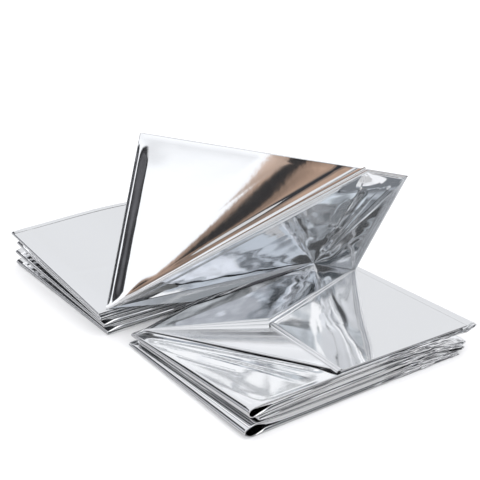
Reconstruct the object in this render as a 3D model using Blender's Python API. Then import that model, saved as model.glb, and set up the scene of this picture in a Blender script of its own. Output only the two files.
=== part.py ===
# Emergency foil blanket, part-way through being unfolded.
#
# One sheet, folded both ways into a pad of panels. The rear panels still lie in
# one stack, the front panels in a second one, and between them the sheet stands
# up as a pointed, hollow flap that leans over the front stack.
#
# X runs along the panels, Y across them from the front stack to the rear one,
# Z is up. Lengths are in millimetres and are turned into metres at the end.

from collections import namedtuple
import math

import bmesh
import bpy
from mathutils import Vector

METRES = 0.001

# Panels: a 140 x 210 cm sheet folded in sixteen each way, two panels to a length.
PANEL_LENGTH = 175.0
PANEL_WIDTH = 131.0
REAR_START = 152.6

# Thickness of one layer in the stacks, of the raised flap and of its web.
LAYER = 1.0
FLAP = 1.6
WEB = 0.8

# How far the web laps into the rear stack's top panel, and where it ends along X.
WEB_LAP = 2.0
WEB_END = 166.0

# How far the ramp's lower edge lies above the middle of the panel it runs into.
RAMP_SEAT = 0.6

# Steps around a half-circle fold, across a panel and along a facet's side.
FOLD_STEPS = 4
STATIONS = 6
FACET_STEPS = 6

# Points closer than this are one point where facets meet.
WELD = 0.05

FOIL_COLOUR = (0.80, 0.81, 0.83, 1.0)
FOIL_ROUGHNESS = 0.18

# Heights of each layer's middle, top layer first. Left, centre and right are
# places along X, and the pleat and swell lie between them.
Layer = namedtuple(
    "Layer",
    "name front_left front_pleat front_centre front_swell front_right "
    "back_left back_centre back_right",
)
COLUMN_PLACES = {"left": 0.0, "pleat": 0.16, "centre": 0.45, "swell": 0.82, "right": 1.0}
BEND_PLACES = (0.08, 0.16, 0.30, 0.45, 0.64, 0.82, 0.92)

FRONT_LAYERS = (
    Layer("under_flap", 19.5, 19.2, 18.4, 17.2, 16.4, 8.2, 9.4, 10.6),
    Layer("upper_pleat", 13.2, 14.8, 16.8, 15.2, 7.4, 6.7, 7.9, 9.1),
    Layer("upper_recess", 11.7, 12.3, 13.0, 11.6, 5.9, 5.2, 6.3, 7.4),
    Layer("lower_recess", 10.2, 9.6, 9.0, 8.2, 4.4, 3.7, 4.7, 5.7),
    Layer("lower_pleat", 8.7, 5.6, 4.8, 4.4, 2.4, 2.1, 2.6, 3.1),
    Layer("bottom", 0.5, 0.5, 0.5, 0.5, 0.5, 0.5, 0.5, 0.5),
)

REAR_LAYERS = (
    Layer("page_1_top", 18.2, 17.1, 15.0, 12.3, 11.0, 26.4, 26.0, 15.5),
    Layer("page_1_under", 16.7, 15.6, 13.5, 10.8, 9.5, 24.8, 24.2, 13.8),
    Layer("page_2_top", 14.3, 13.3, 11.4, 9.1, 8.0, 17.4, 18.4, 11.7),
    Layer("page_2_under", 12.8, 11.8, 9.9, 7.6, 6.5, 15.8, 16.7, 10.1),
    Layer("page_3_top", 8.4, 8.0, 7.0, 5.8, 5.0, 10.8, 12.0, 7.9),
    Layer("page_3_under", 6.9, 6.5, 5.5, 4.3, 3.5, 9.2, 10.3, 6.3),
    Layer("page_4_top", 2.3, 2.4, 2.5, 2.2, 2.0, 3.0, 4.2, 3.0),
    Layer("page_4_under", 0.5, 0.5, 0.5, 0.5, 0.5, 0.5, 0.5, 0.5),
)

# Where the sheet turns back on itself, or ends, at the left and right of a stack.
Turn = namedtuple("Turn", "name front_x back_x")

FRONT_TURNS = (
    Turn("flap_edge", 168.5, 167.5),
    Turn("flap_fold", 181.0, 177.0),
    Turn("upper_loop", 0.5, 0.5),
    Turn("upper_nest", 171.8, 173.5),
    Turn("recess", 8.0, 5.0),
    Turn("lower_nest", 171.0, 172.5),
    Turn("lower_loop", -3.2, -1.5),
    Turn("bottom_edge", 167.0, 169.0),
)

REAR_TURNS = (
    Turn("top_edge", 168.0, 168.0),
    Turn("page_1", -12.0, -10.2),
    Turn("nest_1", 168.5, 168.0),
    Turn("page_2", -11.0, -6.4),
    Turn("nest_2", 167.0, 168.5),
    Turn("page_3", -8.5, -8.2),
    Turn("nest_3", 168.0, 167.5),
    Turn("page_4", -6.3, -8.1),
    Turn("bottom_edge", 166.0, 166.0),
)

# The layer of the front stack that the flap's own right edge turns under.
FLAP_LAYER = Layer("flap", 18.2, 18.2, 18.2, 18.2, 18.2, 13.45, 13.45, 13.45)

# Corners of the raised flap and of the floor of the pocket in front of it.
CORNERS = {
    "root": (-3.9, 153.0, 19.2),
    "tip_left": (35.8, 170.4, 128.2),
    "ridge_top": (135.6, 61.0, 115.6),
    "tip_right": (152.7, 42.3, 113.4),
    "pinch": (154.3, 136.0, 14.0),
    "gusset": (171.5, 110.6, 14.2),
    "throat": (55.9, 145.0, 8.0),
    "peak": (68.0, 70.3, 22.0),
    "heel": (8.6, 130.0, 8.9),
    "hem": (69.5, 1.5, 20.2),
    "lap": (173.5, 0.4, 18.2),
}

# Facets between the corners, with how far each one's middle swells out.
Facet = namedtuple("Facet", "name a b c swell")
FACETS = (
    Facet("mirror", "root", "tip_left", "ridge_top", -1.2),
    Facet("underside", "root", "ridge_top", "pinch", 1.8),
    Facet("gusset_top", "ridge_top", "tip_right", "pinch", 1.2),
    Facet("gusset_side", "pinch", "tip_right", "gusset", -1.0),
    Facet("throat_wall", "root", "pinch", "throat", 0.0),
    Facet("floor_left", "throat", "peak", "heel", 0.0),
    Facet("floor_middle", "throat", "pinch", "peak", 0.0),
    Facet("floor_right", "pinch", "gusset", "peak", 0.0),
    Facet("ramp", "heel", "peak", "hem", 0.0),
    Facet("cover_back", "peak", "gusset", "lap", 0.0),
    Facet("cover_front", "peak", "lap", "hem", 0.0),
)


def clear_scene():
    for item in list(bpy.data.objects):
        bpy.data.objects.remove(item, do_unlink=True)


def between(low, high, share):
    return low + (high - low) * share


def height(layer, along, across):
    """Height of a layer at shares of the panel's length and width."""
    along = min(max(along, 0.0), 1.0)
    front = (
        ("left", layer.front_left),
        ("pleat", layer.front_pleat),
        ("centre", layer.front_centre),
        ("swell", layer.front_swell),
        ("right", layer.front_right),
    )
    back = (
        ("left", layer.back_left),
        ("centre", layer.back_centre),
        ("right", layer.back_right),
    )
    return between(at_place(front, along), at_place(back, along), across)


def at_place(columns, along):
    """Height between the two columns on either side of a place along X."""
    for (name, low), (next_name, high) in zip(columns, columns[1:]):
        start = COLUMN_PLACES[name]
        end = COLUMN_PLACES[next_name]
        if along <= end:
            return between(low, high, (along - start) / (end - start))
    return columns[-1][1]


def sheet_line(layers, turns, across, heads_left):
    """The sheet's path in X and Z through one stack, at a share of its width."""
    line = []
    for row, layer in enumerate(layers):
        start = between(turns[row].front_x, turns[row].back_x, across)
        end = between(turns[row + 1].front_x, turns[row + 1].back_x, across)
        heading = -1.0 if heads_left else 1.0
        if row > 0:
            start += heading * turn_radius(layers[row - 1], layer, heads_left, across)
        last = row == len(layers) - 1
        if not last:
            end -= heading * turn_radius(layer, layers[row + 1], not heads_left, across)
        for place in run_places(start, end):
            line.append((place, height(layer, place / PANEL_LENGTH, across)))
        if not last:
            line += turn_points(line[-1], layer, layers[row + 1], heading, across)
        heads_left = not heads_left
    return line


def run_places(start, end):
    """X of the points along one layer: its ends and the bends between them."""
    bends = [PANEL_LENGTH * share for share in BEND_PLACES]
    inner = [x for x in bends if min(start, end) < x < max(start, end)]
    return [start] + (inner if end > start else inner[::-1]) + [end]


def turn_radius(upper, lower, at_right, across):
    along = 1.0 if at_right else 0.0
    return (height(upper, along, across) - height(lower, along, across)) / 2.0


def turn_points(start, upper, lower, heading, across):
    """Points of the half circle that joins two layers, without its two ends."""
    radius = turn_radius(upper, lower, heading > 0.0, across)
    points = []
    for step in range(1, FOLD_STEPS):
        angle = math.pi * step / FOLD_STEPS
        x = start[0] + heading * radius * math.sin(angle)
        z = start[1] - radius * (1.0 - math.cos(angle))
        points.append((x, z))
    return points


def stack(name, layers, turns, start_y, heads_left):
    """A back-and-forth sheet, drawn at several places across the panel."""
    shape = bmesh.new()
    rows = []
    for station in range(STATIONS):
        across = station / (STATIONS - 1)
        y = start_y + PANEL_WIDTH * across
        line = sheet_line(layers, turns, across, heads_left)
        rows.append([shape.verts.new((x, y, z)) for x, z in line])
    for row, next_row in zip(rows, rows[1:]):
        for k in range(len(row) - 1):
            shape.faces.new((row[k], row[k + 1], next_row[k + 1], next_row[k]))
    return thick_sheet(name, shape, LAYER)


def facet_points(facet):
    """A facet's triangles, as rows of points from corner a to side b-c."""
    a, b, c = (Vector(CORNERS[corner]) for corner in (facet.a, facet.b, facet.c))
    out = (b - a).cross(c - a).normalized()
    rows = []
    for i in range(FACET_STEPS + 1):
        row = []
        for j in range(i + 1):
            share_a = 1.0 - i / FACET_STEPS
            share_c = j / FACET_STEPS
            share_b = 1.0 - share_a - share_c
            bulge = 27.0 * share_a * share_b * share_c * facet.swell  # full at the middle
            point = a * share_a + b * share_b + c * share_c + out * bulge
            on_panel = facet.name == "ramp" and j == i > 0
            row.append(seated(point, share_c) if on_panel else point)
        rows.append(row)
    return rows


def seated(point, share):
    """A point of the ramp's lower edge, set into the panel that it runs into."""
    hem = Vector(CORNERS["hem"])
    rise = hem.z - panel_top(hem)
    point.z = panel_top(point) + between(RAMP_SEAT, rise, share ** 4)
    return point


def panel_top(point):
    """Height of the front stack's top panel under a point."""
    return height(FRONT_LAYERS[0], point.x / PANEL_LENGTH, point.y / PANEL_WIDTH)


def raised_flap():
    """The pocket floor, the ridge and the standing flap, as one faceted sheet."""
    shape = bmesh.new()
    for facet in FACETS:
        rows = [[shape.verts.new(point) for point in row] for row in facet_points(facet)]
        for row, next_row in zip(rows, rows[1:]):
            for k in range(len(row)):
                shape.faces.new((row[k], next_row[k], next_row[k + 1]))
            for k in range(len(row) - 1):
                shape.faces.new((row[k], next_row[k + 1], row[k + 1]))
    bmesh.ops.remove_doubles(shape, verts=shape.verts, dist=WELD)
    bmesh.ops.recalc_face_normals(shape, faces=shape.faces)
    return thick_sheet("raised_flap", shape, FLAP, even=False)


def web():
    """The strip that joins the rear stack's top panel to the flap's root line."""
    root = Vector(CORNERS["root"])
    pinch = Vector(CORNERS["pinch"])
    shape = bmesh.new()
    rows = []
    for step in range(FACET_STEPS + 1):
        share = step / FACET_STEPS
        x = between(root.x, WEB_END, share)
        points = [rear_top(x, WEB_LAP), rear_top(x, 0.0), root.lerp(pinch, share)]
        rows.append([shape.verts.new(point) for point in points])
    for row, next_row in zip(rows, rows[1:]):
        for k in range(len(row) - 1):
            shape.faces.new((row[k], row[k + 1], next_row[k + 1], next_row[k]))
    return thick_sheet("web", shape, WEB)


def rear_top(x, depth):
    """A point on the rear stack's top panel, behind its front edge."""
    z = height(REAR_LAYERS[0], x / PANEL_LENGTH, depth / PANEL_WIDTH)
    return Vector((x, REAR_START + depth, z))


def thick_sheet(name, shape, thickness, even=True):
    """A closed solid from a drawn middle surface."""
    mesh = bpy.data.meshes.new(name)
    shape.to_mesh(mesh)
    shape.free()
    sheet = bpy.data.objects.new(name, mesh)
    bpy.context.scene.collection.objects.link(sheet)
    solid = sheet.modifiers.new("thickness", "SOLIDIFY")
    solid.thickness = thickness
    solid.offset = 0.0
    solid.use_even_offset = even
    solid.use_rim = True
    return sheet


def join_to(body, piece):
    """Union a piece into the body."""
    union = body.modifiers.new("join_" + piece.name, "BOOLEAN")
    union.operation = "UNION"
    union.solver = "EXACT"
    union.object = piece


def foil():
    material = bpy.data.materials.new("aluminised_foil")
    material.use_nodes = True
    shader = material.node_tree.nodes["Principled BSDF"]
    shader.inputs["Base Color"].default_value = FOIL_COLOUR
    shader.inputs["Metallic"].default_value = 1.0
    shader.inputs["Roughness"].default_value = FOIL_ROUGHNESS
    return material


def finished(body, name):
    """The joined sheet as one mesh in metres, over the middle of what it covers."""
    graph = bpy.context.evaluated_depsgraph_get()
    mesh = bpy.data.meshes.new_from_object(body.evaluated_get(graph))
    shape = bmesh.new()
    shape.from_mesh(mesh)
    bmesh.ops.triangulate(shape, faces=shape.faces)
    bmesh.ops.dissolve_degenerate(shape, dist=WELD / 50.0, edges=shape.edges)
    middle = []
    for axis in (0, 1):
        places = [vert.co[axis] for vert in shape.verts]
        middle.append((min(places) + max(places)) / 2.0)
    floor = min(vert.co.z for vert in shape.verts)
    bmesh.ops.translate(shape, verts=shape.verts, vec=(-middle[0], -middle[1], -floor))
    bmesh.ops.scale(shape, verts=shape.verts, vec=(METRES, METRES, METRES))
    shape.to_mesh(mesh)
    shape.free()
    mesh.materials.clear()
    mesh.materials.append(foil())
    blanket = bpy.data.objects.new(name, mesh)
    bpy.context.scene.collection.objects.link(blanket)
    return blanket


def build():
    clear_scene()
    front = stack("front_stack", (FLAP_LAYER,) + FRONT_LAYERS, FRONT_TURNS, 0.0, False)
    rear = stack("rear_stack", REAR_LAYERS, REAR_TURNS, REAR_START, True)
    pieces = [raised_flap(), web(), rear]
    for piece in pieces:
        join_to(front, piece)
    bpy.context.view_layer.update()
    finished(front, "foil_blanket")
    for item in [front] + pieces:
        bpy.data.objects.remove(item, do_unlink=True)


build()
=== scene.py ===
from collections import namedtuple
import math

import bpy
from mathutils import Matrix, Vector, noise

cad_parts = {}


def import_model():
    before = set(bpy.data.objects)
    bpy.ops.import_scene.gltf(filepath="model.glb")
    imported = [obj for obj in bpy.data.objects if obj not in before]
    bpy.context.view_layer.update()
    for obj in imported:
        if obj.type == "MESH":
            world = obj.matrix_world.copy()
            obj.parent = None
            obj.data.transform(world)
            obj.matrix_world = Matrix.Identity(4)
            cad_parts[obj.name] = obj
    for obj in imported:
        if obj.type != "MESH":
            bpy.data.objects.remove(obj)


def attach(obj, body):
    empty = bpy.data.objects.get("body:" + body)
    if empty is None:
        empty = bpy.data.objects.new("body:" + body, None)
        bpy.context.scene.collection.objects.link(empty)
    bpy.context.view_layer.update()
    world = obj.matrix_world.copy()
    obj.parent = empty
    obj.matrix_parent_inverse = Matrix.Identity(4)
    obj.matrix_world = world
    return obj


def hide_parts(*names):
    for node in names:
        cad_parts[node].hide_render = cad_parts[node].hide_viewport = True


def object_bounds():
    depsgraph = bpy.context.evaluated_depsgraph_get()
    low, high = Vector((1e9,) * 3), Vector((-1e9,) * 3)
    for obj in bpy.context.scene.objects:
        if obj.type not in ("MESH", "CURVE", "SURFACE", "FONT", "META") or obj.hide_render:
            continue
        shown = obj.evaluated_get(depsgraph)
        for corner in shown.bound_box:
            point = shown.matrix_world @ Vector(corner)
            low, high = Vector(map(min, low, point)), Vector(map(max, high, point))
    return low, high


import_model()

cadLow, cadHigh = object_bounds()

# Lengths are in millimetres, in the layout of the folded sheet: X along the panels from the
# front stack's left fold, Y across them from its front edge, Z up from the floor.
layout = {
    "metres": 0.001,
    "leftmost": -12.54,
    "frontmost": -0.04,
    "panelLength": 175.0,
    "panelWidth": 131.0,
    "rearStart": 152.6,
}


def toFrame(point):
    x = cadLow.x + (point.x - layout["leftmost"]) * layout["metres"]
    y = cadLow.y + (point.y - layout["frontmost"]) * layout["metres"]
    return (x, y, cadLow.z + point.z * layout["metres"])


def between(low, high, share):
    return low + (high - low) * share


def smooth(low, high, value):
    share = min(max((value - low) / (high - low), 0.0), 1.0)
    return share * share * (3.0 - 2.0 * share)


def fadedEnds(reach, share):
    return smooth(0.0, reach, share) * smooth(0.0, reach, 1.0 - share)


class SheetMesh:
    def __init__(self):
        self.points = []
        self.faces = []

    def grid(self, rows, turned=False):
        first = len(self.points)
        wide = len(rows[0])
        for row in rows:
            self.points += [toFrame(point) for point in row]
        for i in range(len(rows) - 1):
            for k in range(wide - 1):
                a = first + i * wide + k
                quad = (a, a + 1, a + wide + 1, a + wide)
                self.faces.append(quad[::-1] if turned else quad)

    def finished(self, name, material):
        mesh = bpy.data.meshes.new(name)
        mesh.from_pydata(self.points, [], self.faces)
        mesh.validate()
        mesh.polygons.foreach_set("use_smooth", [True] * len(mesh.polygons))
        mesh.materials.append(material)
        piece = bpy.data.objects.new(name, mesh)
        bpy.context.scene.collection.objects.link(piece)
        return piece


# A layer has the heights of its middle along its front edge, then along its back edge.
# A turn has its place at the front and the back, how far it is drawn out, and the length over
# which the edges beside it open. The top layer comes first.
Layer = namedtuple(
    "Layer",
    "name frontLeft frontPleat frontCentre frontSwell frontRight backLeft backCentre backRight",
)
Turn = namedtuple("Turn", "name frontX backX drawn opening", defaults=(12.0,))
Crease = namedtuple("Crease", "startX startY endX endY bow height width")
creaseFade = {"reach": 3.0, "ends": 0.12, "edges": 0.03}
columnPlaces = {"left": 0.0, "pleat": 0.16, "centre": 0.45, "swell": 0.82, "right": 1.0}

frontStack = {
    "startY": 0.0,
    "headsLeft": False,
    "layers": (
        Layer("flap", 18.2, 18.2, 18.2, 18.2, 18.2, 13.45, 13.45, 13.45),
        Layer("underFlap", 19.5, 19.2, 18.4, 17.2, 16.4, 8.2, 9.4, 10.6),
        Layer("upperPleat", 13.2, 14.8, 16.8, 15.2, 7.4, 6.7, 7.9, 9.1),
        Layer("upperRecess", 11.7, 12.3, 13.0, 11.6, 5.9, 5.2, 6.3, 7.4),
        Layer("lowerRecess", 10.2, 9.6, 9.0, 8.2, 4.4, 3.7, 4.7, 5.7),
        Layer("lowerPleat", 8.7, 5.6, 4.8, 4.4, 2.4, 2.1, 2.6, 3.1),
        Layer("bottom", 0.5, 0.5, 0.5, 0.5, 0.5, 0.5, 0.5, 0.5),
    ),
    "turns": (
        Turn("flapEdge", 168.5, 167.5, 1.0),
        Turn("flapFold", 181.0, 177.0, 1.6),
        Turn("upperLoop", 0.5, 0.5, 1.3, 17.0),
        Turn("upperNest", 171.8, 173.5, 2.0),
        Turn("recess", 8.0, 5.0, 1.5),
        Turn("lowerNest", 171.0, 172.5, 2.0),
        Turn("lowerLoop", -3.2, -1.5, 2.3, 2.5),
        Turn("bottomEdge", 167.0, 169.0, 1.0),
    ),
    "shown": {1: (112, 66)},
    "creases": (
        Crease(2.0, 124.0, 68.0, 4.0, 0.6, 0.55, 2.2),
        Crease(3.0, 120.0, 60.0, 8.0, -0.8, -0.30, 1.3),
        Crease(3.0, 118.0, 52.0, 6.0, 0.5, 0.30, 1.1),
        Crease(2.0, 116.0, 46.0, 3.0, -1.5, -0.35, 1.0),
        Crease(1.0, 104.0, 24.0, 36.0, 1.2, 0.25, 1.2),
        Crease(-2.0, 50.0, 14.0, -4.0, 2.0, 0.30, 4.0),
    ),
}
rearStack = {
    "startY": layout["rearStart"],
    "headsLeft": True,
    "layers": (
        Layer("page1Top", 18.2, 17.1, 15.0, 12.3, 11.0, 26.4, 26.0, 15.5),
        Layer("page1Under", 16.7, 15.6, 13.5, 10.8, 9.5, 24.8, 24.2, 13.8),
        Layer("page2Top", 14.3, 13.3, 11.4, 9.1, 8.0, 17.4, 18.4, 11.7),
        Layer("page2Under", 12.8, 11.8, 9.9, 7.6, 6.5, 15.8, 16.7, 10.1),
        Layer("page3Top", 8.4, 8.0, 7.0, 5.8, 5.0, 10.8, 12.0, 7.9),
        Layer("page3Under", 6.9, 6.5, 5.5, 4.3, 3.5, 9.2, 10.3, 6.3),
        Layer("page4Top", 2.3, 2.4, 2.5, 2.2, 2.0, 3.0, 4.2, 3.0),
        Layer("page4Under", 0.5, 0.5, 0.5, 0.5, 0.5, 0.5, 0.5, 0.5),
    ),
    "turns": (
        Turn("topEdge", 168.0, 168.0, 1.0),
        Turn("page1", -12.0, -10.2, 1.5),
        Turn("nest1", 168.5, 168.0, 1.5),
        Turn("page2", -11.0, -6.4, 1.5),
        Turn("nest2", 167.0, 168.5, 1.5),
        Turn("page3", -8.5, -8.2, 1.5),
        Turn("nest3", 168.0, 167.5, 1.5),
        Turn("page4", -6.3, -8.1, 1.5),
        Turn("bottomEdge", 166.0, 166.0, 1.0),
    ),
    "shown": {0: (60, 48)},
    "creases": (
        Crease(3.5, 287.0, -1.0, 209.0, 0.0, 0.10, 1.6),
        Crease(-2.0, 209.0, 40.0, 202.0, 0.5, 0.10, 1.6),
    ),
}

# The sheet lies eight layers thick: how far each one is from the middle.
plies = {
    "offsets": (0.48, 0.15, 0.09, 0.03, -0.03, -0.09, -0.15, -0.48),
    "frontPairs": ((1, 6), (2, 5), (3, 4)),
    "rearPairs": ((2, 3), (5, 6)),
    "edgeTurn": 2,
    "innerRun": 6,
    "innerStations": 7,
    "innerTurn": 5,
    "outerRun": 14,
    "outerStations": 8,
    "outerTurn": 12,
}


def throughColumns(columns, along):
    knots = [columnPlaces[name] for name, value in columns]
    values = [value for name, value in columns]
    slopes = []
    for k in range(len(knots)):
        low, high = max(k - 1, 0), min(k + 1, len(knots) - 1)
        slopes.append((values[high] - values[low]) / (knots[high] - knots[low]))
    for k in range(len(knots) - 1):
        if along <= knots[k + 1] or k == len(knots) - 2:
            gap = knots[k + 1] - knots[k]
            t = min(max((along - knots[k]) / gap, 0.0), 1.0)
            rise = t * t * (3.0 - 2.0 * t)
            start = t * (1.0 - t) * (1.0 - t) * gap * slopes[k]
            end = t * t * (t - 1.0) * gap * slopes[k + 1]
            return between(values[k], values[k + 1], rise) + start + end
    return values[-1]


def heightAt(layer, along, across):
    front = (
        ("left", layer.frontLeft),
        ("pleat", layer.frontPleat),
        ("centre", layer.frontCentre),
        ("swell", layer.frontSwell),
        ("right", layer.frontRight),
    )
    back = (("left", layer.backLeft), ("centre", layer.backCentre), ("right", layer.backRight))
    along = min(max(along, 0.0), 1.0)
    return between(throughColumns(front, along), throughColumns(back, along), across)


def turnRadius(upper, lower, atRight, across):
    along = 1.0 if atRight else 0.0
    return (heightAt(upper, along, across) - heightAt(lower, along, across)) / 2.0


def panelSpan(stack, row, across):
    layers, turns = stack["layers"], stack["turns"]
    heading = -1.0 if stack["headsLeft"] == (row % 2 == 0) else 1.0
    before, after = turns[row], turns[row + 1]
    start = between(before.frontX, before.backX, across)
    end = between(after.frontX, after.backX, across)
    if row > 0:
        radius = turnRadius(layers[row - 1], layers[row], heading < 0.0, across)
        start += heading * radius * before.drawn
    if row < len(layers) - 1:
        radius = turnRadius(layers[row], layers[row + 1], heading > 0.0, across)
        end -= heading * radius * after.drawn
    return start, end, heading


def panelLine(stack, row, across, offset, steps, shown=False):
    start, end = panelSpan(stack, row, across)[:2]
    side = offset if row % 2 == 0 else -offset
    y = stack["startY"] + layout["panelWidth"] * across
    line = []
    for step in range(steps + 1):
        share = step / steps
        x = between(start, end, share)
        z = heightAt(stack["layers"][row], x / layout["panelLength"], across) + side
        if shown:
            z += panelRelief(stack["creases"], x, y, share, across)
        line.append(Vector((x, y, z)))
    return line


def panelRelief(creases, x, y, along, across):
    lift = 0.0
    for crease in creases:
        gap, place = segmentGap(x, y, crease)
        if 0.0 < place < 1.0 and gap < creaseFade["reach"] * crease.width:
            fade = fadedEnds(creaseFade["ends"], place)
            lift += crease.height * fade * math.exp(-((gap / crease.width) ** 2))
    return lift * fadedEnds(creaseFade["edges"], across) * fadedEnds(creaseFade["edges"], along)


def segmentGap(x, y, crease):
    wide, deep = crease.endX - crease.startX, crease.endY - crease.startY
    length = math.hypot(wide, deep)
    place = ((x - crease.startX) * wide + (y - crease.startY) * deep) / length ** 2
    bow = crease.bow * math.sin(math.pi * min(max(place, 0.0), 1.0))
    side = ((x - crease.startX) * deep - (y - crease.startY) * wide) / length
    return abs(side - bow), place


def turnLine(stack, row, across, offset, steps):
    upper = panelLine(stack, row, across, 0.0, 1)[-1]
    lower = panelLine(stack, row + 1, across, 0.0, 1)[0]
    heading = panelSpan(stack, row, across)[2]
    side = offset if row % 2 == 0 else -offset
    radius = (upper.z - lower.z) / 2.0
    middle = (upper + lower) / 2.0
    line = []
    for step in range(steps + 1):
        angle = math.pi * step / steps
        reach = heading * (radius * stack["turns"][row + 1].drawn + side) * math.sin(angle)
        line.append(middle + Vector((reach, 0.0, (radius + side) * math.cos(angle))))
    return line


def stackPlies(sheet, stack):
    rows = range(len(stack["layers"]))
    last = len(plies["offsets"]) - 1
    for k, offset in enumerate(plies["offsets"]):
        kind = "outer" if k in (0, last) else "inner"
        turned = (k == 0) != stack["headsLeft"]
        for row in rows:
            run, stations = plies[kind + "Run"], plies[kind + "Stations"]
            shown = row in stack["shown"] and k == (0 if row % 2 == 0 else last)
            if shown:
                run, stations = stack["shown"][row]
            places = [station / stations for station in range(stations + 1)]
            panel = [panelLine(stack, row, share, offset, run, shown) for share in places]
            sheet.grid(panel, turned)
            if row < rows[-1]:
                steps = plies[kind + "Turn"]
                sheet.grid([turnLine(stack, row, share, offset, steps) for share in places], turned)


def wholeLine(stack, across, offset, run, turnSteps):
    line = []
    for row in range(len(stack["layers"])):
        line += panelLine(stack, row, across, offset, run)
        if row < len(stack["layers"]) - 1:
            line += turnLine(stack, row, across, offset, turnSteps)[1:-1]
    return line


# The long edges puff up between the pressed layers and leave only thin slits.
lips = {
    "pressed": 0.48,
    "highest": 2.3,
    "top": 0.8,
    "slit": 0.26,
    "depth": 0.9,
    "beadHeights": (0.10, 0.45),
    "beadWaves": (5.0, 8.0),
    "shoulder": 3.6,
    "tucked": 0.75,
    "ends": 2.5,
    "opened": (0.15, 1.0),
    "steps": (24, 10),
    "run": 26,
    "crumple": 1.1,
    "lowest": 0.02,
    "creasedFrom": (92.0, 140.0),
    "sideWave": (6.0, 2.3, 1.6, 0.0),
    "upWave": (8.0, 1.7, 1.2, 9.0),
}


def lipRise(stack, row, x, across, upward):
    layers, turns = stack["layers"], stack["turns"]
    other = row - 1 if upward else row + 1
    flat = lips["pressed"]
    along = x / layout["panelLength"]
    if other >= len(layers):
        return flat
    if other < 0 or (row == 1 and upward and "flap" == layers[0].name):
        height = lips["top"]
        nearest = lips["ends"]
    else:
        gap = abs(heightAt(layers[other], along, across) - heightAt(layers[row], along, across))
        height = min(max(gap / 2.0 - lips["slit"], flat), lips["highest"])
        turn = turns[max(row, other)]
        nearest = abs(x - between(turn.frontX, turn.backX, across)) / turn.opening
        height = between(flat, height, smooth(*lips["opened"], nearest))
    start, end = panelSpan(stack, row, across)[:2]
    inside = min(abs(x - start), abs(x - end)) / lips["ends"]
    return between(flat, height, smooth(0.0, 1.0, inside))


def creased(stack, across, x):
    return 0.0 if stack["headsLeft"] or across > 0.0 else smooth(*lips["creasedFrom"], x)


def crumple(amount, x, row, share):
    moves = []
    for length, perRow, perShare, shift in (lips["sideWave"], lips["upWave"]):
        moves.append(amount * noise.noise(Vector((x / length + shift, row * perRow, share * perShare))))
    return Vector((0.0, *moves))


def lipLine(stack, across, angle):
    line = []
    share = math.cos(angle)
    side = -1.0 if across == 0.0 else 1.0
    outward = Vector((0.0, side * lips["depth"] * math.sin(angle), 0.0))
    for row in range(len(stack["layers"])):
        for point in panelLine(stack, row, across, 0.0, lips["run"]):
            upward = (share > 0.0) == (row % 2 == 0)
            rise = abs(share) * lipRise(stack, row, point.x, across, upward)
            much = creased(stack, across, point.x)
            bead = between(*lips["beadHeights"], much) * math.sin(angle)
            bead *= math.cos(between(*lips["beadWaves"], much) * angle)
            moved = point + outward + Vector((0.0, side * bead, rise if upward else -rise))
            moved += crumple(lips["crumple"] * much, point.x, row, share)
            moved.z = max(moved.z, lips["lowest"])
            line.append(moved)
        if row < len(stack["layers"]) - 1:
            turn = turnLine(stack, row, across, share * lips["pressed"], plies["outerTurn"])[1:-1]
            line += [point + outward for point in turn]
    return line


def stackEdges(sheet, stack):
    offsets = plies["offsets"]
    for across, pairs in ((0.0, plies["frontPairs"]), (1.0, plies["rearPairs"])):
        outward = Vector((0.0, -1.0 if across == 0.0 else 1.0, 0.0))
        turned = (across == 0.0) == stack["headsLeft"]
        for one, other in pairs:
            middle = (offsets[one] + offsets[other]) / 2.0
            radius = (offsets[one] - offsets[other]) / 2.0
            lines = []
            for step in range(plies["edgeTurn"] + 1):
                angle = math.pi * step / plies["edgeTurn"]
                offset = middle + radius * math.cos(angle)
                reach = outward * (radius * math.sin(angle))
                line = wholeLine(stack, across, offset, plies["innerRun"], plies["innerTurn"])
                lines.append([point + reach for point in line])
            sheet.grid(lines, turned)
        count = lips["steps"][0 if across == 0.0 else 1]
        lines = [lipPressed(stack, across, lips["tucked"])]
        lines += [lipLine(stack, across, math.pi * step / count) for step in range(count + 1)]
        lines.append(lipPressed(stack, across, -lips["tucked"]))
        sheet.grid(lines, turned)


def lipPressed(stack, across, share):
    line = wholeLine(stack, across, share * lips["pressed"], lips["run"], plies["outerTurn"])
    inward = Vector((0.0, lips["shoulder"] if across == 0.0 else -lips["shoulder"], 0.0))
    return [point + inward for point in line]


# The raised flap is made of fans, which run from an apex corner to a rim of other corners.
# Corners of the flap and of the film that it pulls up from the front stack.
corners = {
    "root": (-4.7, 153.5, 19.2),
    "tipLeft": (35.8, 170.4, 128.2),
    "ridgeTop": (135.6, 61.0, 115.6),
    "tipRight": (152.7, 42.3, 113.4),
    "pinch": (154.3, 136.0, 14.0),
    "gusset": (171.5, 110.6, 14.2),
    "throat": (55.9, 145.0, 8.0),
    "peak": (68.0, 70.3, 22.0),
    "heel": (8.6, 130.0, 8.9),
    "hem": (69.5, 1.5, 20.2),
    "lap": (173.5, 0.4, 18.2),
    "throatLip": (54.5, 143.2, 10.4),
    "pinchLip": (154.0, 134.3, 16.0),
    "rootLip": (-3.9, 152.4, 19.6),
}
corners = {name: Vector(place) for name, place in corners.items()}
corners["borderEnd"] = corners["tipLeft"].lerp(corners["ridgeTop"], 0.11)

FanCrease = namedtuple("FanCrease", "fromU fromV toU toV bow height width fade ends", defaults=(0.2, ()))


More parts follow.
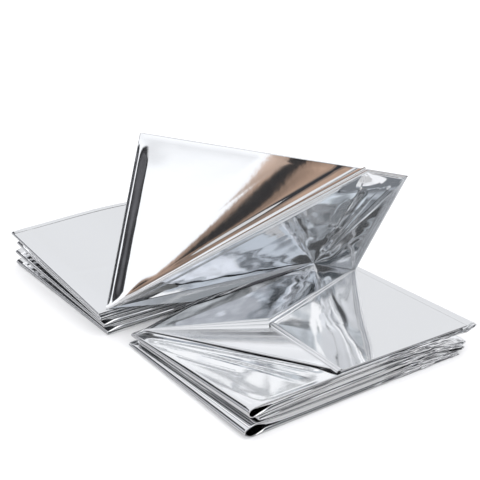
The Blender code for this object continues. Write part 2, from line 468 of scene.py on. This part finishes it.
# Steps: along a spoke, and along each part of the rim. Roll: place on the rim, height.
# Borders: heights by the distance from a side of the fan. Rounded: place on the rim, slope, width.
# Ripple: height, long and short wave, direction. Creases: U is out from the apex, V along the rim.
fans = (
    {
        "name": "mirror",
        "apex": "root",
        "rim": ("tipLeft", "borderEnd", "ridgeTop"),
        "faces": (-0.67, -0.65, 0.35),
        "steps": (64, (42, 84)),
        "roll": (0.55, 4.0),
        "borders": {
            "first": ((0.0, -0.52), (1.4, -0.26), (1.8, -0.26), (9.2, 0.46), (26.0, 0.0)),
            "rim": ((0.0, 0.0), (1.0, -0.04), (2.6, -0.04), (4.6, 0.0)),
            "last": ((0.0, -0.4), (8.0, -0.4), (12.0, 0.0)),
        },
        "creases": (),
        "rounded": (),
        "ripple": (0.16, 80.0, 26.0, (0.8, -0.5, 0.6)),
    },
    {
        "name": "underside",
        "apex": "pinch",
        "rim": ("root", "ridgeTop", "tipRight", "gusset"),
        "faces": (-0.1, -0.8, -0.6),
        "steps": (60, (90, 24, 70)),
        "roll": (0.0, 0.0),
        "borders": {},
        "creases": (
            FanCrease(0.10, 0.600, 0.97, 0.612, 0.0, 0.60, 1.4, 0.15),
            FanCrease(0.12, 0.625, 0.98, 0.632, 0.0, 0.55, 1.1, 0.15),
            FanCrease(0.10, 0.645, 0.98, 0.652, 0.0, 0.70, 1.4, 0.15),
            FanCrease(0.20, 0.670, 0.97, 0.668, 0.0, -0.50, 1.2, 0.15),
            FanCrease(0.35, 0.570, 0.96, 0.590, 1.5, 0.6, 3.5, 0.25),
            FanCrease(0.30, 0.520, 0.85, 0.555, -2.0, -0.5, 3.0, 0.25),
            FanCrease(0.30, 0.960, 0.80, 0.800, 2.0, 0.5, 3.0, 0.3),
        ),
        "rounded": ((0.567, 0.32, 38.0), (0.6417, 0.046, 14.0)),
        "ripple": (0.21, 42.0, 15.0, (0.75, -0.3, 0.6)),
    },
    {
        "name": "throatWall",
        "apex": "pinchLip",
        "rim": ("rootLip", "throatLip"),
        "faces": (0.1, -1.0, 0.2),
        "steps": (40, (12,)),
        "roll": (0.0, 0.0),
        "borders": {},
        "creases": (),
        "rounded": (),
        "ripple": (0.0, 1.0, 1.0, (1.0, 0.0, 0.0)),
    },
    {
        "name": "pocketFloor",
        "apex": "peak",
        "rim": ("heel", "throat", "pinch", "gusset"),
        "faces": (0.0, 0.0, 1.0),
        "steps": (50, (36, 60, 30)),
        "roll": (0.0, 0.0),
        "borders": {},
        "creases": (),
        "rounded": ((0.8289, -0.084, 45.0),),
        "ripple": (0.20, 40.0, 13.0, (0.95, 0.25, 0.0)),
    },
    {
        "name": "ramp",
        "apex": "heel",
        "rim": ("peak", "hem"),
        "faces": (0.0, 0.0, 1.0),
        "steps": (20, (16,)),
        "roll": (0.0, 0.0),
        "borders": {},
        "creases": (),
        "rounded": (),
        "ripple": (0.0, 1.0, 1.0, (1.0, 0.0, 0.0)),
    },
    {
        "name": "cover",
        "apex": "peak",
        "rim": ("gusset", "lap", "hem"),
        "faces": (0.0, 0.0, 1.0),
        "steps": (60, (60, 60)),
        "roll": (0.0, 0.0),
        "borders": {},
        "creases": (),
        "rounded": ((0.5146, -0.038, 70.0),),
        "ripple": (0.28, 45.0, 15.0, (0.5, 0.8, 0.0)),
        "rippleReach": (30.0, 75.0),
    },
)
fanShape = {
    "apexGap": 0.004,
    "rollRise": 0.35,
    "firstFades": ((0.0, 0.12), (0.03, 0.18)),
    "lastWidens": 0.15,
    "lastFades": (0.25, 0.6),
    "rimEnds": 0.03,
    "roundedEnd": 0.12,
    "rippleEnds": 0.08,
    "rippleFrom": (2.0, 30.0),
    "finerRipple": (0.4, 2.2),
}
flapPlies = {
    "offsets": (0.6, 0.15, 0.09, 0.03, -0.03, -0.09, -0.15, -0.6),
    "innerSteps": (8, 16),
    "backSteps": (16, 32),
}


def rimPlaces(rim, steps):
    if isinstance(steps, int):
        total = sum((b - a).length for a, b in zip(rim, rim[1:]))
        steps = [max(1, round(steps * (b - a).length / total)) for a, b in zip(rim, rim[1:])]
    places = [rim[0].copy()]
    for (a, b), count in zip(zip(rim, rim[1:]), steps):
        places += [a.lerp(b, (k + 1) / count) for k in range(count)]
    return places


def alongRim(rim, share):
    lengths = [(b - a).length for a, b in zip(rim, rim[1:])]
    left = share * sum(lengths)
    for (a, b), length in zip(zip(rim, rim[1:]), lengths):
        if left <= length:
            return a.lerp(b, left / length)
        left -= length
    return rim[-1]


def lineGap(point, start, end):
    way = (end - start).normalized()
    fromStart = point - start
    return (fromStart - way * fromStart.dot(way)).length


def profileAt(profile, gap):
    for (near, low), (far, high) in zip(profile, profile[1:]):
        if gap <= far:
            return between(low, high, smooth(near, far, gap))
    return 0.0


def fanRelief(fan, point, u, v, apex, rim, rimLength):
    place, height = fan["roll"]
    lift = 0.0
    if height:
        if v < place:
            lift = height * u * v / place
        else:
            share = (v - place) / (1.0 - place)
            rise = fanShape["rollRise"]
            lift = height * u * (1.0 + rise * share - (1.0 + rise) * share * share)
    for border, profile in fan["borders"].items():
        if border == "first":
            gap = lineGap(point, apex, rim[0])
            nearApex, nearRim = fanShape["firstFades"]
            lift += profileAt(profile, gap) * smooth(*nearApex, u) * smooth(*nearRim, 1.0 - u)
        elif border == "last":
            gap = lineGap(point, apex, rim[-1]) / between(fanShape["lastWidens"], 1.0, u)
            lift += profileAt(profile, gap) * smooth(*fanShape["lastFades"], u)
        else:
            gap = min(lineGap(point, a, b) for a, b in zip(rim, rim[1:]))
            lift += profileAt(profile, gap) * fadedEnds(fanShape["rimEnds"], v)
    for spoke, slope, width in fan["rounded"]:
        wide = max(width * u, 0.01)
        gap = abs(v - spoke) * rimLength * u
        if gap < wide:
            fade = smooth(0.0, fanShape["roundedEnd"], 1.0 - u)
            lift += slope * (wide - gap) ** 2 / (2.0 * wide) * fade
    across, long, short, way = fan["ripple"]
    if across:
        ends, away = fanShape["rippleEnds"], (point - apex).length
        fade = fadedEnds(ends, v) * smooth(0.0, ends, 1.0 - u) * smooth(*fanShape["rippleFrom"], away)
        if "rippleReach" in fan:
            fade *= 1.0 - smooth(*fan["rippleReach"], away)
        way = Vector(way).normalized()
        reach = point.dot(way)
        spread = (point - way * reach) / short + way * (reach / long)
        share, finer = fanShape["finerRipple"]
        wave = noise.noise(spread) + share * noise.noise(spread * finer)
        lift += across * fade * wave
    for crease in fan["creases"]:
        start, end = crease.ends
        gap, place = creaseGap(point, start, end, crease.bow, apex)
        if 0.0 < place < 1.0 and abs(gap) < creaseFade["reach"] * crease.width:
            fade = fadedEnds(crease.fade, place)
            lift += crease.height * fade * math.exp(-((gap / crease.width) ** 2))
    return lift


def placedCreases(fan, apex, rim):
    creases = []
    for crease in fan["creases"]:
        start = apex.lerp(alongRim(rim, crease.fromV), crease.fromU)
        end = apex.lerp(alongRim(rim, crease.toV), crease.toU)
        creases.append(crease._replace(ends=(start, end)))
    return creases


def creaseGap(point, start, end, bow, apex):
    way = end - start
    away = point - start
    place = away.dot(way) / way.length_squared
    off = away - way * place
    side = (apex - start).cross(way)
    sign = -1.0 if off.cross(way).dot(side) < 0.0 else 1.0
    return sign * off.length - bow * math.sin(math.pi * min(max(place, 0.0), 1.0)), place


def fanLines(fan, spokeSteps, rimSteps):
    apex = corners[fan["apex"]]
    rim = [corners[name] for name in fan["rim"]]
    rimLength = sum((b - a).length for a, b in zip(rim, rim[1:]))
    faces = Vector(fan["faces"])
    fan = dict(fan, creases=placedCreases(fan, apex, rim))
    places = rimPlaces(rim, rimSteps)
    shares = [0.0]
    for a, b in zip(places, places[1:]):
        shares.append(shares[-1] + (b - a).length / rimLength)
    flat = []
    for i in range(spokeSteps + 1):
        u = max(i / spokeSteps, fanShape["apexGap"])
        flat.append([apex.lerp(place, u) for place in places])
    ways = normalsOf(flat, faces)
    lines = []
    for i, line in enumerate(flat):
        u = i / spokeSteps
        raised = []
        for point, way, v in zip(line, ways[i], shares):
            raised.append(point + way * fanRelief(fan, point, u, v, apex, rim, rimLength))
        lines.append(raised)
    return lines, normalsOf(lines, faces)


def normalsOf(lines, faces):
    ways = []
    for i, line in enumerate(lines):
        row = []
        up, down = lines[max(i - 1, 0)], lines[min(i + 1, len(lines) - 1)]
        for j in range(len(line)):
            along = down[j] - up[j]
            over = line[min(j + 1, len(line) - 1)] - line[max(j - 1, 0)]
            way = along.cross(over).normalized()
            row.append(way if way.dot(faces) > 0.0 else -way)
        ways.append(row)
    return ways


def flapFans(sheet):
    offsets = flapPlies["offsets"]
    for fan in fans:
        front = fanLines(fan, *fan["steps"])
        inner = fanLines(fan, *flapPlies["innerSteps"])
        back = fanLines(fan, *flapPlies["backSteps"])
        lines = front[0]
        first = (lines[1][0] - lines[0][0]).cross(lines[1][1] - lines[1][0])
        turned = first.dot(Vector(fan["faces"])) < 0.0
        for k, offset in enumerate(offsets):
            lines, ways = front if k == 0 else back if k == len(offsets) - 1 else inner
            moved = []
            for line, lineWays in zip(lines, ways):
                moved.append([p + way * offset for p, way in zip(line, lineWays)])
            sheet.grid(moved, turned=turned != (k == 0))


# Rolled folds: narrow strips that follow a line, with rounded pleats across it.
# Rolls: place across, half width, height.
Fold = namedtuple("Fold", "name start end sideA sideB outside reach rounding rolls taper across slanted",
                  defaults=(56, False))
folds = (
    Fold("ridge", "root", "ridgeTop", "tipLeft", "pinch", (-0.6, -0.7, 0.1), 11.8, 4.0,
         ((-3.2, 2.4, 1.0), (0.9, 1.5, 0.9), (3.2, 0.4, 0.9), (4.35, 0.35, 0.8),
          (6.5, 1.3, 0.6)), (0.15, 1.0), 96, True),
    Fold("crestLeft", "heel", "peak", "throat", "hem", (0.0, 0.0, 1.0), 8.5, 0.8,
         ((-5.6, 1.85, 1.3), (-1.3, 1.85, 1.5), (3.0, 1.85, 1.4)), (0.12, 1.0)),
    Fold("crestRight", "gusset", "peak", "pinch", "lap", (0.0, 0.0, 1.0), 5.0, 0.8,
         ((-2.2, 1.55, 1.0), (1.6, 1.6, 1.0)), (0.3, 1.0)),
    Fold("hemEdge", "hem", "peak", "lap", "heel", (0.0, 0.0, 1.0), 3.4, 0.8,
         ((-1.2, 1.1, 0.8), (1.3, 1.2, 0.6)), (0.8, 1.0)),
)


strips = {"along": 24, "lift": 0.06, "tucked": -0.25, "spare": 0.5}


def perpendicular(away, line):
    return (away - line * away.dot(line)).normalized()


def rolledLift(rolls, across, size):
    lift = 0.0
    for place, width, rise in rolls:
        gap = (across - place) / width
        if abs(gap) < 1.0:
            lift += rise * size * math.sqrt(1.0 - gap * gap)
    return lift


def foldStrip(sheet, fold):
    start, end = corners[fold.start], corners[fold.end]
    line = (end - start).normalized()
    eA = perpendicular(corners[fold.sideA] - start, line)
    eB = perpendicular(corners[fold.sideB] - start, line)
    nA = line.cross(eA)
    nB = -line.cross(eB)
    if nA.dot(Vector(fold.outside)) < 0.0:
        nA, nB = -nA, -nB
    turn = nA.angle(nB)
    height = flapPlies["offsets"][0]
    middle = (nA + nB).normalized()
    stepsAlong, stepsAcross = strips["along"], fold.across
    edge = (corners[fold.sideA] - end).normalized()
    slant = line.dot(edge) / edge.dot(eA) if fold.slanted else 0.0
    rows = []
    for i in range(stepsAlong + 1):
        t = i / stepsAlong
        size = between(fold.taper[0], fold.taper[1], t)
        rounding = max(fold.rounding * size, height)
        inset = (rounding - height) / math.cos(turn / 2.0)
        tangent = (rounding - height) * math.tan(turn / 2.0)
        centre = start.lerp(end, t)
        arc = rounding * turn
        reach = max(fold.reach * size, tangent + strips["spare"])
        half = (reach - tangent) + arc / 2.0
        row = []
        for k in range(stepsAcross + 1):
            s = between(-half, half, k / stepsAcross)
            if s < -arc / 2.0:
                away = -s - arc / 2.0 + tangent
                back = line * (away * slant * t)
                point, way = centre + eA * away + nA * height + back, nA
            elif s > arc / 2.0:
                away = s - arc / 2.0 + tangent
                point, way = centre + eB * away + nB * height, nB
            else:
                angle = (s / arc + 0.5) * turn
                way = (nA * math.sin(turn - angle) + nB * math.sin(angle)) / math.sin(turn)
                point = centre - middle * inset + way * rounding
            lift = strips["lift"] + rolledLift(fold.rolls, s / size, size)
            if k in (0, stepsAcross):
                lift = strips["tucked"]
            row.append(point + way * lift)
        rows.append(row)
    facing = (rows[1][1] - rows[0][1]).cross(rows[1][2] - rows[1][1])
    sheet.grid(rows, turned=facing.dot(nA) > 0.0)


# Half-round edges: from, to, and a corner on the inner side.
edges = (
    ("root", "tipLeft", "ridgeTop"),
    ("tipLeft", "ridgeTop", "root"),
    ("ridgeTop", "tipRight", "pinch"),
    ("tipRight", "gusset", "pinch"),
    ("gusset", "lap", "peak"),
    ("lap", "hem", "peak"),
)


edgeSteps = {"around": 6, "along": 30}


def edgeRoll(sheet, start, end, inside):
    start, end, inside = corners[start], corners[end], corners[inside]
    line = (end - start).normalized()
    inward = perpendicular(inside - start, line)
    way = line.cross(inward)
    radius = flapPlies["offsets"][0]
    rows = []
    count = edgeSteps["along"]
    for k in range(edgeSteps["around"] + 1):
        angle = math.pi * k / edgeSteps["around"]
        reach = way * (radius * math.cos(angle)) - inward * (radius * math.sin(angle))
        rows.append([start.lerp(end, t / count) + reach for t in range(count + 1)])
    sheet.grid(rows, turned=True)


# Pressed lines along an edge: distance in from the edge, half width, height.
Bundle = namedtuple("Bundle", "start end inside faces reach rolls")
bundles = (
    Bundle("heel", "hem", "peak", (0.0, 0.0, 1.0), 2.6,
           ((0.7, 0.9, 0.3),)),
    Bundle("gusset", "tipRight", "pinch", (-1.0, -0.5, 0.0), 5.0,
           ((0.75, 0.6, 1.2), (2.4, 0.62, 1.2), (4.0, 0.6, 0.9))),
    Bundle("ridgeTop", "root", "pinch", (0.0, -0.8, -0.6), 10.6,
           ((7.6, 0.6, 0.3), (9.4, 0.7, 0.3))),
    Bundle("tipRight", "ridgeTop", "pinch", (0.0, -1.0, 0.0), 3.6,
           ((0.9, 0.8, 0.4), (2.6, 0.7, 0.4))),
)


bundleShape = {"along": 14, "across": 52, "narrow": 0.35, "widens": 0.35, "lift": 0.05, "tucked": -0.25}


def edgeBundle(sheet, bundle):
    start, end, inside = corners[bundle.start], corners[bundle.end], corners[bundle.inside]
    line = (end - start).normalized()
    inward = perpendicular(inside - start, line)
    way = line.cross(inward)
    if way.dot(Vector(bundle.faces)) < 0.0:
        way = -way
    along, across = bundleShape["along"], bundleShape["across"]
    rows = []
    for i in range(along + 1):
        t = i / along
        share = smooth(0.0, bundleShape["widens"], min(t, 1.0 - t) * 2.0)
        size = between(bundleShape["narrow"], 1.0, share)
        row = []
        for k in range(across + 1):
            s = bundle.reach * k / across
            lift = bundleShape["lift"] + rolledLift(bundle.rolls, s, size)
            if k in (0, across):
                lift = bundleShape["tucked"]
            row.append(start.lerp(end, t) + inward * s * size + way * (flapPlies["offsets"][0] + lift))
        rows.append(row)
    facing = (rows[1][1] - rows[0][1]).cross(rows[1][2] - rows[1][1])
    sheet.grid(rows, turned=facing.dot(way) > 0.0)


def blanket():
    sheet = SheetMesh()
    stackPlies(sheet, frontStack)
    stackEdges(sheet, frontStack)
    stackPlies(sheet, rearStack)
    stackEdges(sheet, rearStack)
    print("stacks:", len(sheet.faces), "faces")
    flapFans(sheet)
    for fold in folds:
        foldStrip(sheet, fold)
    for bundle in bundles:
        edgeBundle(sheet, bundle)
    for edge in edges:
        edgeRoll(sheet, *edge)
    print("flap:", len(sheet.faces), "faces in all")
    piece = sheet.finished("foilBlanket", foilMaterial())
    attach(piece, "root")
    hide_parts("foil_blanket")
    return piece


foilLook = {
    "colour": (0.93, 0.935, 0.945, 1.0),
    "roughness": (0.035, 0.09),
    "clouds": {"Scale": 60.0, "Detail": 3.0},
    "fine": {"Scale": 220.0, "Detail": 2.0},
    "crinkle": {"Strength": 0.025, "Distance": 0.0005},
}


def addNode(tree, kind, **inputs):
    node = tree.nodes.new(kind)
    for name, value in inputs.items():
        node.inputs[name].default_value = value
    return node


def foilMaterial():
    material = bpy.data.materials.new("aluminisedFoil")
    material.use_nodes = True
    tree = material.node_tree
    shader = tree.nodes["Principled BSDF"]
    shader.inputs["Base Color"].default_value = foilLook["colour"]
    shader.inputs["Metallic"].default_value = 1.0
    place = addNode(tree, "ShaderNodeTexCoord")
    cloud = addNode(tree, "ShaderNodeTexNoise", **foilLook["clouds"])
    spread = addNode(tree, "ShaderNodeMapRange")
    spread.inputs["To Min"].default_value = foilLook["roughness"][0]
    spread.inputs["To Max"].default_value = foilLook["roughness"][1]
    fine = addNode(tree, "ShaderNodeTexNoise", **foilLook["fine"])
    bump = addNode(tree, "ShaderNodeBump", **foilLook["crinkle"])
    tree.links.new(place.outputs["Object"], cloud.inputs["Vector"])
    tree.links.new(place.outputs["Object"], fine.inputs["Vector"])
    tree.links.new(cloud.outputs["Fac"], spread.inputs["Value"])
    tree.links.new(spread.outputs["Result"], shader.inputs["Roughness"])
    tree.links.new(fine.outputs["Fac"], bump.inputs["Height"])
    tree.links.new(bump.outputs["Normal"], shader.inputs["Normal"])
    return material


# The floor's grey after one, two and more reflections in the foil: painted shade, darker than the floor
# seen directly, in place of the shade near the object.
floorLook = {
    "seen": 0.9,
    "paintedShadeInReflections": (0.46, 0.88, 0.40, 0.60, 0.12),
    "secondDepth": 1.5,
    "blue": 1.015,
    "roughness": 0.8,
    "specular": 0.1,
    "size": 0.74,
    "height": -0.0002,
}


def paleGrey(level):
    return (level, level, level * floorLook["blue"], 1.0)


def floorMaterial():
    material = bpy.data.materials.new("paleFloor")
    material.use_nodes = True
    tree = material.node_tree
    shader = tree.nodes["Principled BSDF"]
    path = tree.nodes.new("ShaderNodeLightPath")
    # Painted shade: rays reflected in the foil see the floor in darker greys, set by how many reflections
    # they have made.
    colour = paleGrey(floorLook["paintedShadeInReflections"][0])
    for k, level in enumerate(floorLook["paintedShadeInReflections"][1:]):
        deeper = joined(tree, "GREATER_THAN", path.outputs["Ray Depth"], k + floorLook["secondDepth"])
        colour = blended(tree, "MIX", deeper, colour, paleGrey(level))
    colour = blended(tree, "MIX", path.outputs["Is Glossy Ray"], paleGrey(floorLook["seen"]), colour)
    tree.links.new(colour, shader.inputs["Base Color"])
    shader.inputs["Roughness"].default_value = floorLook["roughness"]
    shader.inputs["Specular IOR Level"].default_value = floorLook["specular"]
    return material


def floor():
    bpy.ops.mesh.primitive_plane_add(size=floorLook["size"], location=(0.0, 0.0, floorLook["height"]))
    plane = bpy.context.object
    plane.name = "floor"
    plane.data.materials.append(floorMaterial())
    print("floor:", floorLook["size"], "m")


# What the foil reflects, by direction.
studio = {
    "plain": 1.5,
    "tint": (0.985, 1.0, 1.03),
    "secondDepth": 2.5,
    "cardsFace": 0.05,
    "mottle": {"Scale": 6.0, "Detail": 2.0},
    "mottleRange": {"From Min": 0.38, "From Max": 0.62, "To Min": 0.2, "To Max": 2.6},
}


def cardMask(tree, direction, card):
    yaw, pitch = math.radians(card.heading), math.radians(card.tilt)
    level, rise = math.cos(pitch), math.sin(pitch)
    ahead = dotWith(tree, direction, (math.cos(yaw) * level, math.sin(yaw) * level, rise))
    right = (-math.sin(yaw), math.cos(yaw), 0.0)
    up = (-math.cos(yaw) * rise, -math.sin(yaw) * rise, level)
    mask = faded(tree, ahead, studio["cardsFace"], 0.0)
    for axis, size in ((right, card.wide), (up, card.tall)):
        share = joined(tree, "DIVIDE", dotWith(tree, direction, axis), ahead)
        edge = math.tan(math.radians(size / 2.0))
        side = faded(tree, joined(tree, "ABSOLUTE", share), edge, edge + math.tan(math.radians(card.soft)))
        mask = joined(tree, "MULTIPLY", mask, side)
    return mask


def dotWith(tree, direction, axis):
    node = tree.nodes.new("ShaderNodeVectorMath")
    node.operation = "DOT_PRODUCT"
    tree.links.new(direction, node.inputs[0])
    node.inputs[1].default_value = axis
    return node.outputs["Value"]


def joined(tree, operation, one, other=None):
    node = tree.nodes.new("ShaderNodeMath")
    node.operation = operation
    for socket, value in zip(node.inputs, (one, other)):
        if value is None:
            continue
        if isinstance(value, (int, float)):
            socket.default_value = value
        else:
            tree.links.new(value, socket)
    return node.outputs[0]


def faded(tree, value, full, none):
    node = tree.nodes.new("ShaderNodeMapRange")
    node.interpolation_type = "SMOOTHSTEP"
    node.inputs["From Min"].default_value = full
    node.inputs["From Max"].default_value = none
    node.inputs["To Min"].default_value = 1.0
    node.inputs["To Max"].default_value = 0.0
    tree.links.new(value, node.inputs["Value"])
    return node.outputs["Result"]


# A room is what a ray meets after so many reflections, from one upwards: its brightness by the
# sine of the height, then its cards, with angles in degrees.
Card = namedtuple("Card", "heading tilt wide tall soft colour mottled")
Room = namedtuple("Room", "levels cards")
rooms = (
    Room(
        ((-1.0, 1.1), (0.30, 1.1), (0.38, 0.84), (0.70, 0.84), (0.80, 0.80), (1.0, 0.75)),
        (
            Card(-56.0, 55.0, 16.0, 36.0, 4.0, (1.35, 1.35, 1.35), 0.0),
            Card(-116.0, 34.0, 56.0, 20.0, 3.0, (0.035, 0.04, 0.045), 0.0),
            Card(-92.0, 16.0, 52.0, 28.0, 12.0, (0.19, 0.205, 0.225), 1.0),
            Card(-20.0, 40.0, 48.0, 20.0, 3.0, (0.05, 0.052, 0.058), 0.3),
            Card(-48.0, 16.0, 30.0, 11.0, 3.0, (0.10, 0.105, 0.11), 0.5),
            Card(106.0, 33.0, 66.0, 8.0, 2.0, (0.03, 0.03, 0.035), 0.0),
            Card(45.0, 20.0, 44.0, 22.0, 6.0, (0.80, 0.81, 0.83), 0.0),
            Card(56.5, 13.0, 9.0, 9.0, 1.5, (0.08, 0.08, 0.09), 0.0),
            Card(-67.0, 5.0, 14.0, 9.0, 2.0, (0.20, 0.21, 0.225), 0.3),
            Card(-42.0, 2.5, 35.0, 9.0, 1.5, (0.05, 0.05, 0.055), 0.0),
            Card(126.0, 19.0, 60.0, 12.0, 3.0, (0.48, 0.49, 0.53), 0.3),
            Card(128.0, 4.5, 50.0, 9.0, 2.0, (0.05, 0.05, 0.055), 0.0),
            Card(-133.3, 3.0, 20.0, 20.0, 0.8, (0.36, 0.25, 0.19), 0.35),
            Card(-138.5, 14.3, 13.8, 5.0, 0.8, (0.42, 0.31, 0.25), 0.35),
            Card(-139.8, 7.5, 3.0, 11.0, 1.1, (0.03, 0.03, 0.032), 0.0),
            Card(-128.0, -8.0, 30.0, 12.0, 1.5, (0.22, 0.165, 0.135), 0.4),
            Card(-125.0, -12.0, 12.0, 8.0, 1.5, (0.04, 0.04, 0.045), 0.0),
            Card(153.0, 10.0, 20.0, 28.0, 2.0, (0.035, 0.035, 0.04), 0.0),
            Card(-174.5, 7.0, 26.0, 28.0, 1.6, (0.06, 0.06, 0.065), 0.8),
        ),
    ),
    Room(
        ((-1.0, 0.7), (-0.1, 0.5), (0.1, 0.2), (0.40, 0.28), (0.55, 0.36), (0.75, 0.80), (0.90, 0.92),
         (0.955, 0.36), (1.0, 0.30)),
        (
            Card(18.0, 70.0, 44.0, 30.0, 5.0, (0.28, 0.305, 0.33), 1.0),
            Card(-60.0, 84.0, 40.0, 26.0, 4.0, (0.25, 0.27, 0.295), 1.0),
            Card(-124.0, 38.0, 30.0, 36.0, 4.0, (0.85, 0.86, 0.88), 0.0),
            Card(-155.0, 57.0, 34.0, 26.0, 4.0, (1.05, 1.05, 1.07), 0.0),
            Card(150.0, 74.0, 30.0, 10.0, 4.0, (0.75, 0.76, 0.78), 0.3),
            Card(-70.0, 20.0, 16.0, 26.0, 5.0, (0.30, 0.32, 0.34), 0.0),
            Card(-66.0, 43.0, 12.0, 10.0, 4.0, (0.38, 0.40, 0.42), 1.0),
            Card(172.0, 62.0, 30.0, 16.0, 5.0, (0.95, 0.96, 0.98), 0.0),
            Card(-85.0, 79.0, 34.0, 14.0, 4.0, (0.20, 0.215, 0.235), 0.0),
        ),
    ),
    Room(
        ((-1.0, 0.5), (-0.1, 0.26), (0.05, 0.09), (0.47, 0.08), (0.55, 0.64), (0.66, 0.72),
         (0.80, 0.82), (0.87, 1.0), (1.0, 1.0)),
        (
            Card(-59.0, 33.0, 22.0, 12.0, 5.0, (0.34, 0.36, 0.38), 0.6),
            Card(-54.0, 55.0, 36.0, 27.0, 3.0, (1.15, 1.15, 1.15), 0.0),
            Card(-102.0, 20.0, 20.0, 12.0, 3.0, (0.60, 0.61, 0.63), 0.5),
            Card(-41.0, 44.0, 8.0, 12.0, 4.0, (0.34, 0.36, 0.38), 0.5),
            Card(-166.0, 33.5, 12.0, 11.0, 3.0, (0.20, 0.21, 0.23), 0.6),
            Card(-155.0, 26.0, 9.0, 12.0, 4.0, (0.42, 0.44, 0.46), 0.6),
            Card(-135.0, 5.0, 9.0, 12.0, 3.0, (0.30, 0.32, 0.34), 0.6),
        ),
    ),
    Room(
        ((-1.0, 0.6), (-0.05, 0.75), (0.15, 0.60), (0.32, 0.22), (0.48, 0.24), (0.60, 0.36),
         (0.68, 0.74), (1.0, 0.85)),
        (
            Card(-82.0, 26.0, 50.0, 60.0, 9.0, (0.25, 0.27, 0.295), 1.0),
            Card(-89.0, 28.0, 12.0, 44.0, 3.0, (0.58, 0.60, 0.64), 0.5),
            Card(-140.0, 16.0, 40.0, 30.0, 6.0, (0.32, 0.34, 0.36), 0.8),
            Card(-156.0, 26.0, 12.0, 12.0, 5.0, (0.08, 0.09, 0.10), 0.3),
        ),
    ),
    Room(
        ((-1.0, 0.4), (-0.05, 0.45), (0.15, 0.40), (0.32, 0.20), (0.48, 0.22), (0.60, 0.34),
         (0.75, 0.60), (1.0, 0.7)),
        (Card(-85.0, 30.0, 60.0, 70.0, 15.0, (0.20, 0.22, 0.245), 1.0),),
    ),
    Room(((-1.0, 0.03), (1.0, 0.03)), ()),
)


def skyRamp(tree, height, levels):
    ramp = tree.nodes.new("ShaderNodeValToRGB")
    elements = ramp.color_ramp.elements
    while len(elements) > 1:
        elements.remove(elements[-1])
    for k, (rise, level) in enumerate(levels):
        element = elements[0] if k == 0 else elements.new((rise + 1.0) / 2.0)
        element.position = (rise + 1.0) / 2.0
        element.color = (*(level * part for part in studio["tint"]), 1.0)
    tree.links.new(height, ramp.inputs["Fac"])
    return ramp.outputs["Color"]


def blended(tree, kind, share, one, other):
    mix = tree.nodes.new("ShaderNodeMix")
    mix.data_type = "RGBA"
    mix.blend_type = kind
    for socket, value in ((mix.inputs[0], share), (mix.inputs[6], one), (mix.inputs[7], other)):
        if isinstance(value, (int, float, tuple)):
            socket.default_value = value
        else:
            tree.links.new(value, socket)
    return mix.outputs[2]


def roomColour(tree, direction, height, mottle, room):
    colour = skyRamp(tree, height, room.levels)
    for card in room.cards:
        shade = (*card.colour, 1.0)
        if card.mottled:
            shade = blended(tree, "MULTIPLY", card.mottled, shade, mottle)
        colour = blended(tree, "MIX", cardMask(tree, direction, card), colour, shade)
    return colour


def world():
    scene = bpy.context.scene
    scene.world = bpy.data.worlds.new("studio")
    scene.world.use_nodes = True
    tree = scene.world.node_tree
    tree.nodes.clear()
    place = tree.nodes.new("ShaderNodeTexCoord")
    direction = place.outputs["Generated"]
    apart = tree.nodes.new("ShaderNodeSeparateXYZ")
    tree.links.new(direction, apart.inputs[0])
    height = joined(tree, "MULTIPLY", joined(tree, "ADD", apart.outputs["Z"], 1.0), 0.5)
    cloud = addNode(tree, "ShaderNodeTexNoise", **studio["mottle"])
    tree.links.new(direction, cloud.inputs["Vector"])
    mottle = addNode(tree, "ShaderNodeMapRange", **studio["mottleRange"])
    tree.links.new(cloud.outputs["Fac"], mottle.inputs["Value"])
    mottle = mottle.outputs["Result"]
    path = tree.nodes.new("ShaderNodeLightPath")
    colour = roomColour(tree, direction, height, mottle, rooms[0])
    for k, room in enumerate(rooms[1:]):
        deeper = joined(tree, "GREATER_THAN", path.outputs["Ray Depth"], k + studio["secondDepth"])
        colour = blended(tree, "MIX", deeper, colour, roomColour(tree, direction, height, mottle, room))
    seen = tree.nodes.new("ShaderNodeBackground")
    tree.links.new(colour, seen.inputs["Color"])
    plain = tree.nodes.new("ShaderNodeBackground")
    plain.inputs["Color"].default_value = (1.0, 1.0, 1.0, 1.0)
    plain.inputs["Strength"].default_value = studio["plain"]
    pick = tree.nodes.new("ShaderNodeMixShader")
    tree.links.new(path.outputs["Is Glossy Ray"], pick.inputs["Fac"])
    tree.links.new(plain.outputs[0], pick.inputs[1])
    tree.links.new(seen.outputs[0], pick.inputs[2])
    output = tree.nodes.new("ShaderNodeOutputWorld")
    tree.links.new(pick.outputs[0], output.inputs["Surface"])
    print("studio:", sum(len(room.cards) for room in rooms), "cards in", len(rooms), "rooms")


viewpoint = {
    "lens": 94.63,
    "sensor": 36.0,
    "farthest": 20.0,
    "place": (-0.43736, -0.64010, 0.41663),
    "degrees": (64.64, 0.13, -35.0),
    "bounces": 24,
    "glossyBounces": 16,
}


def camera():
    view = bpy.data.cameras.new("view")
    view.lens = viewpoint["lens"]
    view.sensor_width = viewpoint["sensor"]
    view.clip_end = viewpoint["farthest"]
    holder = bpy.data.objects.new("view", view)
    holder.location = viewpoint["place"]
    holder.rotation_euler = [math.radians(turn) for turn in viewpoint["degrees"]]
    scene = bpy.context.scene
    scene.collection.objects.link(holder)
    scene.camera = holder
    scene.view_settings.view_transform = "Standard"
    scene.cycles.max_bounces = viewpoint["bounces"]
    scene.cycles.glossy_bounces = viewpoint["glossyBounces"]
    print("camera: lens", viewpoint["lens"], "mm")


camera()
world()
floor()
foil = blanket()
